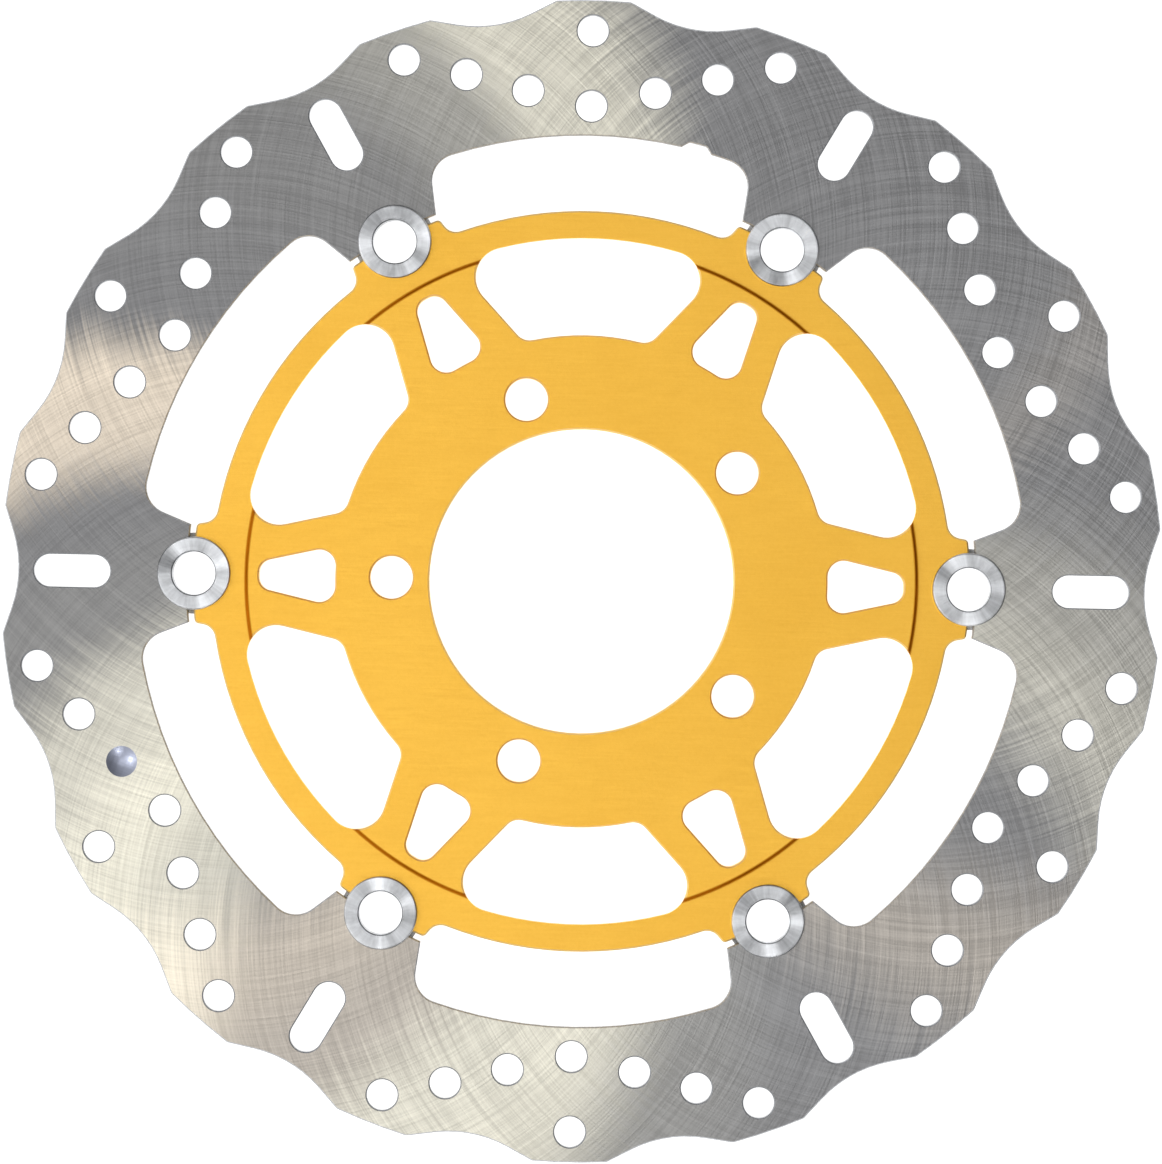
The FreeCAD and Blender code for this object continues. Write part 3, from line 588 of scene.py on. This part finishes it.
def copy_to_station(pattern, name, number):
    """A copy with a mesh of its own, moved and turned to a bobbin's station."""
    piece = bpy.data.objects.new(name, pattern.data.copy())
    bpy.context.scene.collection.objects.link(piece)
    axis = bobbin_axes[number]
    turned = Matrix.Rotation(FULL_TURN * number / len(STATIONS), 4, "Z")
    piece.data.transform(Matrix.Translation((axis.x, axis.y, 0)) @ turned)
    return piece


def fit_out(pattern, family, body, material):
    """Put a copy of a pattern at each station in place of its plain solid."""
    remember_own_place(pattern)
    dress(pattern, material)
    pieces = []
    for number in STATIONS:
        node = f"{family}_{number + 1}"
        piece = copy_to_station(pattern, f"finished_{node}", number)
        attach(piece, body.format(number + 1))
        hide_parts(node)
        pieces.append(piece)
    bpy.data.objects.remove(pattern)
    return pieces


print("lathe ready,", FACETS, "facets")

# %% [markdown]
# ## The bobbins
#
# A bobbin is a hollow stub with a flange. Its body bears on the half-round seats of
# both lugs, the flange stops it on the front, and a groove near the back end takes
# the circlip. The flange is faced flat, with small chamfers at its rim and its hole.
# The section below repeats the solid's sizes, read from its box where that is
# possible. The rings that the facing tool left are far too fine for the mesh, and
# come from the finish.

# %% Turn the bobbins
bobbin_low, bobbin_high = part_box("bobbin_1")
FLANGE_RADIUS = (bobbin_high.y - bobbin_low.y) / 2 / MM
FACE, TAIL = bobbin_high.z / MM, bobbin_low.z / MM
SEAT_LEVEL = RING_FRONT / MM
HOLE_RADIUS, BODY_RADIUS, GROOVE_RADIUS = 5.6, 7.5, 7.15
clip_low, clip_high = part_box("circlip_1")
CLIP_BACK, CLIP_FRONT = clip_low.z / MM, clip_high.z / MM
CHAMFER = 0.3
GROOVE_PLAY = 0.06

bobbin_section = [
    (HOLE_RADIUS, TAIL),
    (BODY_RADIUS - CHAMFER, TAIL),
    (BODY_RADIUS, TAIL + CHAMFER),
    (BODY_RADIUS, CLIP_BACK),
    (GROOVE_RADIUS, CLIP_BACK),
    (GROOVE_RADIUS, CLIP_FRONT + GROOVE_PLAY),
    (BODY_RADIUS, CLIP_FRONT + GROOVE_PLAY),
    (BODY_RADIUS, SEAT_LEVEL),
    (FLANGE_RADIUS, SEAT_LEVEL),
    (FLANGE_RADIUS, FACE - CHAMFER),
    (FLANGE_RADIUS - CHAMFER, FACE),
    (HOLE_RADIUS + CHAMFER, FACE),
    (HOLE_RADIUS, FACE - CHAMFER),
]
bobbin = turn("bobbin_pattern", bobbin_section, bevel=0.05)
bobbins = fit_out(bobbin, "bobbin", "bobbin_{}", turned_steel)
print("turned", len(bobbins), "bobbins of", len(bobbins[0].data.polygons), "faces")

# %% [markdown]
# ## The flat washers
#
# A flat washer bridges both lugs from behind and moves with the friction ring. It is
# stamped, so its edges are slightly rounded on both sides. Only a thin sliver shows
# from the front, in the gap between two lugs.

# %% Turn the flat washers
flat_low, flat_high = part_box("flat_washer_1")
FLAT_RADIUS = (flat_high.y - flat_low.y) / 2 / MM
FLAT_BACK, FLAT_FRONT = flat_low.z / MM, flat_high.z / MM
FLAT_BORE = 7.6
flat_section = [
    (FLAT_BORE, FLAT_BACK),
    (FLAT_RADIUS, FLAT_BACK),
    (FLAT_RADIUS, FLAT_FRONT),
    (FLAT_BORE, FLAT_FRONT),
]
flat_washer = turn("flat_washer_pattern", flat_section, bevel=0.12)
flat_washers = fit_out(flat_washer, "flat_washer", "friction_ring", washer_steel)
print("turned", len(flat_washers), "flat washers")

# %% [markdown]
# ## The wave washers
#
# A wave washer starts as a flat ring of spring strip, and a press bends three waves
# into it. We do the same: turn a flat ring at the level of its troughs, then lift
# three lines of points with proportional editing, which draws the metal between
# them into a smooth wave. When the friction ring floats back, the waves flatten.

# %% Bend the wave washers
wave_low, wave_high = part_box("wave_washer_1")
WAVE_RADIUS = (wave_high.y - wave_low.y) / 2 / MM
WAVE_BORE, STRIP = 7.7, 0.4
TROUGH, CREST = wave_low.z / MM, wave_high.z / MM
WAVES = 3
wave_section = [
    (WAVE_BORE, TROUGH),
    (WAVE_RADIUS, TROUGH),
    (WAVE_RADIUS, TROUGH + STRIP),
    (WAVE_BORE, TROUGH + STRIP),
]


def bend_waves(piece, lift, waves):
    """Lift evenly spaced lines of points, and let the rest follow smoothly."""
    half_facet = math.pi / FACETS
    for vertex in piece.data.vertices:
        around = math.atan2(vertex.co.y, vertex.co.x) % (FULL_TURN / waves)
        nearest = min(around, FULL_TURN / waves - around)
        vertex.select = nearest < half_facet
    bpy.ops.object.mode_set(mode="EDIT")
    reach = (WAVE_BORE + WAVE_RADIUS) / 2 * MM
    bpy.ops.transform.translate(
        value=(0, 0, lift * MM),
        use_proportional_edit=True,
        proportional_edit_falloff="SMOOTH",
        proportional_size=reach,
    )
    bpy.ops.object.mode_set(mode="OBJECT")


wave_washer = turn("wave_washer_pattern", wave_section, bevel=0.06)
bend_waves(wave_washer, CREST - TROUGH - STRIP, WAVES)
heights = [vertex.co.z / MM for vertex in wave_washer.data.vertices]
print(f"bent strip lies from {min(heights):.2f} to {max(heights):.2f} mm")
wave_washers = fit_out(wave_washer, "wave_washer", "bobbin_{}", spring_steel)
for number, piece in enumerate(wave_washers):
    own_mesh(piece)

# %% [markdown]
# ## Smooth where it is round, crisp where it is cut
#
# Every new piece is shaded smooth across small angles and sharp across large ones,
# so a turned wall looks round and a chamfer stays a chamfer.

# %% Shade by angle
def shade_by_angle(pieces, degrees):
    select_none()
    for piece in pieces:
        piece.select_set(True)
    bpy.context.view_layer.objects.active = pieces[0]
    bpy.ops.object.shade_smooth_by_angle(angle=math.radians(degrees))
    select_none()


shade_by_angle(bobbins + flat_washers + wave_washers, 30)
print("shaded", len(bobbins + flat_washers + wave_washers), "pieces")

# %% [markdown]
# ## The studio
#
# Parts are often shown in a catalogue on a lit white table, seen straight down with a
# long lens, so that the outline is true and the holes come out white. The table
# here glows as white as paper for the same reason. A flat face seen from above
# mirrors only what hangs over it, and a chamfer mirrors the walls of the room. So
# the room is lighter on the left and darker on the right, which draws a fine dark
# line down the right side of each flange. A large soft lamp overhead, a little to the
# left, carries the same direction into the flat faces.

# %% The table, the lamps and the room
TABLE_WIDTH = 6.0
TABLE_GLOW = 0.96
LIGHT_SIDE = Vector((-0.95, -0.3, 0.0)).normalized()


def make_table():
    select_none()
    bpy.ops.mesh.primitive_plane_add(size=TABLE_WIDTH, location=(0, 0, LOWEST))
    table = bpy.context.object
    table.name = "light_table"
    finish = Finish("lit_white_acrylic", metallic=0.0, roughness=0.6)
    finish.colour((0.5, 0.5, 0.5, 1.0))
    finish.shader.inputs["Emission Color"].default_value = (1.0, 1.0, 1.0, 1.0)
    finish.shader.inputs["Emission Strength"].default_value = TABLE_GLOW
    dress(table, finish.material)


def add_softbox(name, place, width, power):
    """A square soft lamp that looks at the middle of the disc."""
    lamp = bpy.data.lights.new(name, "AREA")
    lamp.size = width
    lamp.energy = power
    holder = bpy.data.objects.new(name, lamp)
    holder.location = place
    holder.rotation_euler = (-Vector(place)).to_track_quat("-Z", "Y").to_euler()
    bpy.context.scene.collection.objects.link(holder)


def light_room(level, swing):
    """An even room that grows lighter towards the light side."""
    room = bpy.data.worlds.new("pale_room")
    room.use_nodes = True
    tree = room.node_tree
    tree.nodes["Background"].inputs["Color"].default_value = (1.0, 1.0, 1.0, 1.0)
    looking = tree.nodes.new("ShaderNodeTexCoord")
    towards = tree.nodes.new("ShaderNodeVectorMath")
    towards.operation = "DOT_PRODUCT"
    towards.inputs[1].default_value = LIGHT_SIDE
    tree.links.new(looking.outputs["Generated"], towards.inputs[0])
    brightness = tree.nodes.new("ShaderNodeMath")
    brightness.operation = "MULTIPLY_ADD"
    brightness.inputs[1].default_value = swing
    brightness.inputs[2].default_value = level
    tree.links.new(towards.outputs["Value"], brightness.inputs[0])
    tree.links.new(brightness.outputs[0], tree.nodes["Background"].inputs["Strength"])
    bpy.context.scene.world = room


make_table()
light_room(0.50, 0.37)
add_softbox("left_softbox", (-1.5, -0.3, 1.4), 0.8, 12.0)
add_softbox("lower_softbox", (0.3, -1.5, 1.2), 0.6, 6.0)
add_softbox("overhead", (-0.22, -0.07, 2.1), 0.9, 3.6)
bpy.context.scene.view_settings.view_transform = "Standard"
print("studio lit")

# %% [markdown]
# ## The camera
#
# A long lens from two and a half metres keeps the view almost flat: the far side of
# an 8 mm hole shifts by less than half a millimetre. The disc is seen turned by about
# a degree, which is the camera's roll here.

# %% Place the camera
CAMERA_DISTANCE = 2.5
FRAME_WIDTH = 300.3 * MM
SENSOR = 36.0
ROLL = math.radians(1.22)
AIM = (-0.10 * MM, -0.16 * MM)


def place_camera():
    lens = bpy.data.cameras.new("catalogue_camera")
    lens.sensor_width = SENSOR
    lens.lens = SENSOR * CAMERA_DISTANCE / FRAME_WIDTH
    lens.clip_start = 0.05
    lens.clip_end = 20.0
    camera = bpy.data.objects.new("catalogue_camera", lens)
    camera.location = (*AIM, RING_FRONT + CAMERA_DISTANCE)
    camera.rotation_euler = (0.0, 0.0, ROLL)
    bpy.context.scene.collection.objects.link(camera)
    bpy.context.scene.camera = camera
    print(f"lens {lens.lens:.0f} mm from {CAMERA_DISTANCE} m")


place_camera()
